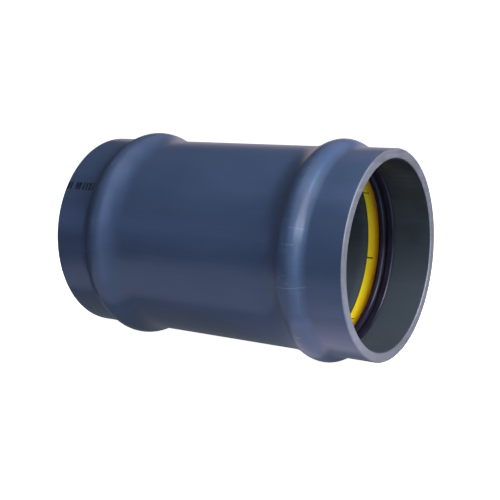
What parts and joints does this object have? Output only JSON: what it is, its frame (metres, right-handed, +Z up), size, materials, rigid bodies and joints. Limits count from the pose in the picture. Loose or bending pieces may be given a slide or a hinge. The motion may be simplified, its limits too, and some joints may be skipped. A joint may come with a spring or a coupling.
{
  "type": "push fit coupling",
  "caption": "Straight push fit slip coupling: a plain-bore plastic pipe sleeve with bulged sockets, each holding a rubber lip seal and a stiff retaining ring.",
  "frame": {"origin": "centre of the bore, halfway between the two mouths", "axes": "+X along the bore and out of the right socket, +Z up"},
  "size_m": [0.2924, 0.1908, 0.1908],
  "materials": {
    "pvc_tube": "extruded and thermoformed PVC-U, dark blue-grey, semi-gloss",
    "seal_rubber": "moulded black EPDM, satin",
    "ring_plastic": "moulded yellow polypropylene, satin"
  },
  "bodies": {
    "root": {"coupling_body": "pvc_tube", "lip_seal_right": "seal_rubber", "lip_seal_left": "seal_rubber", "retaining_ring_right": "ring_plastic", "retaining_ring_left": "ring_plastic"}
  },
  "joints": []
}
